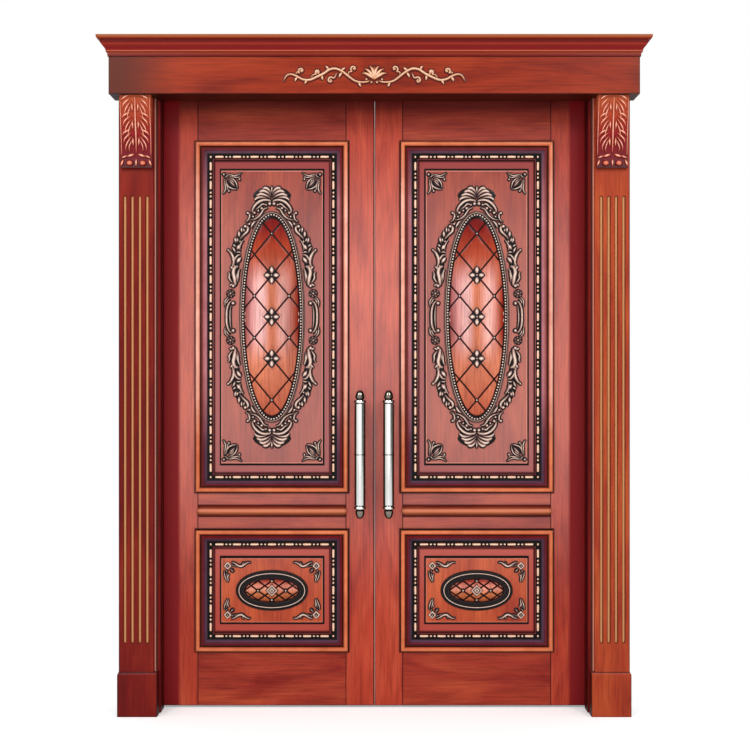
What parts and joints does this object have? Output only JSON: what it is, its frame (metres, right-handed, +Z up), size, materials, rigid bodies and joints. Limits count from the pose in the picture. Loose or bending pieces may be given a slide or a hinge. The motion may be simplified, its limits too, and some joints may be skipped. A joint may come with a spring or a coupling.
{
  "type": "wooden double door",
  "caption": "Carved wooden double door in its frame, with fluted pilasters, corbels, frieze and crown; both leaves swing on butt hinges.",
  "frame": {"origin": "on the floor, in the middle of the whole width and depth", "axes": "+Z up, +Y from the carved front towards the back, +X to the right seen from the front"},
  "size_m": [1.836, 0.2586, 2.275],
  "materials": {
    "frame_wood": "semi-gloss varnish",
    "jamb_wood": "semi-gloss varnish",
    "leaf_wood": "semi-gloss varnish",
    "panel_wood": "semi-gloss varnish",
    "moulding_wood": "semi-gloss varnish",
    "patina_carving": "dark patina with rubbed ridges",
    "gilt_carving": "dark patina with rubbed ridges",
    "polished_steel": "polished",
    "hinge_steel": "satin",
    "seal": "matt"
  },
  "bodies": {
    "frame": {"jamb_left": "jamb_wood", "jamb_right": "jamb_wood", "head_jamb": "jamb_wood", "pilaster_left": "frame_wood", "pilaster_right": "frame_wood", "plinth_left": "frame_wood", "plinth_right": "frame_wood", "corbel_left": "frame_wood", "corbel_right": "frame_wood", "frieze_board": "frame_wood", "crown_moulding": "frame_wood", "frieze_carving": "gilt_carving", "rebate_seals": "seal", "frame_hinges_left": "hinge_steel", "frame_hinges_right": "hinge_steel", "hinge_pins": "hinge_steel"},
    "left_leaf": {"left_hinge_stile": "leaf_wood", "left_lock_stile": "leaf_wood", "left_top_rail": "leaf_wood", "left_mid_rail": "leaf_wood", "left_bottom_rail": "leaf_wood", "left_upper_panel": "panel_wood", "left_lower_panel": "panel_wood", "left_upper_moulding": "moulding_wood", "left_lower_moulding": "moulding_wood", "left_beading": "patina_carving", "left_rail_roll": "moulding_wood", "left_upper_dome": "panel_wood", "left_upper_ring": "patina_carving", "left_wreath": "patina_carving", "left_upper_corners": "patina_carving", "left_lower_dome": "panel_wood", "left_lower_ring": "patina_carving", "left_lower_corners": "patina_carving", "left_handle_bar": "polished_steel", "left_handle_posts": "polished_steel", "left_leaf_hinges": "hinge_steel", "left_back_mouldings": "leaf_wood"},
    "right_leaf": {"right_hinge_stile": "leaf_wood", "right_lock_stile": "leaf_wood", "right_top_rail": "leaf_wood", "right_mid_rail": "leaf_wood", "right_bottom_rail": "leaf_wood", "right_upper_panel": "panel_wood", "right_lower_panel": "panel_wood", "right_upper_moulding": "moulding_wood", "right_lower_moulding": "moulding_wood", "right_beading": "patina_carving", "right_rail_roll": "moulding_wood", "right_upper_dome": "panel_wood", "right_upper_ring": "patina_carving", "right_wreath": "patina_carving", "right_upper_corners": "patina_carving", "right_lower_dome": "panel_wood", "right_lower_ring": "patina_carving", "right_lower_corners": "patina_carving", "right_handle_bar": "polished_steel", "right_handle_posts": "polished_steel", "right_leaf_hinges": "hinge_steel", "right_back_mouldings": "leaf_wood"}
  },
  "joints": [
    {"name": "left_leaf_swing", "type": "hinge", "parent": "frame", "child": "left_leaf", "pos_m": [-0.7385, 0.1228, 1], "axis": [0, 0, 1], "range_deg": [0, 105]},
    {"name": "right_leaf_swing", "type": "hinge", "parent": "frame", "child": "right_leaf", "pos_m": [0.7385, 0.1228, 1], "axis": [0, 0, -1], "range_deg": [0, 105]}
  ]
}
